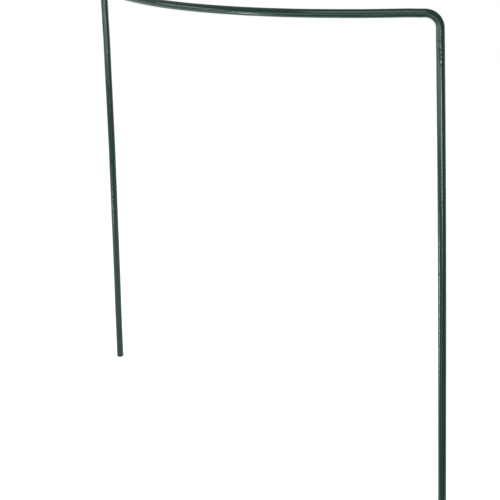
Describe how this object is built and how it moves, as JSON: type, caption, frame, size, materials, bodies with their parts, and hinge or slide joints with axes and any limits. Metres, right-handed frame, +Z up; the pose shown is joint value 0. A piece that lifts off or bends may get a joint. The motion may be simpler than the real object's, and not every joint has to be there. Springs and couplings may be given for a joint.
{
  "type": "bow-shaped border support",
  "caption": "Bow-shaped support of green plastic-coated steel wire: a curved top bar with straight legs that push into soil, to hold back leaning border plants.",
  "frame": {"origin": "on the soil surface, midway between the axes of the two legs, with the tips 100 mm below it", "axes": "+Z up out of the soil, +X from the left leg to the right leg along the row of legs, -Y the way the bow bulges, away from the plants it holds"},
  "size_m": [0.3752, 0.0723, 0.3301],
  "materials": {
    "steel_wire": "drawn mild steel wire, hidden inside the coating",
    "green_plastic": "extruded soft PVC, dark green, semi-gloss, with faint draw lines and forming marks at the bends",
    "green_plastic_seal": "dark green PVC dab over the cut end, semi-gloss"
  },
  "bodies": {
    "root": {"core_wire": "steel_wire", "plastic_coating": "green_plastic", "left_tip_seal": "green_plastic_seal", "right_tip_seal": "green_plastic_seal"}
  },
  "joints": []
}
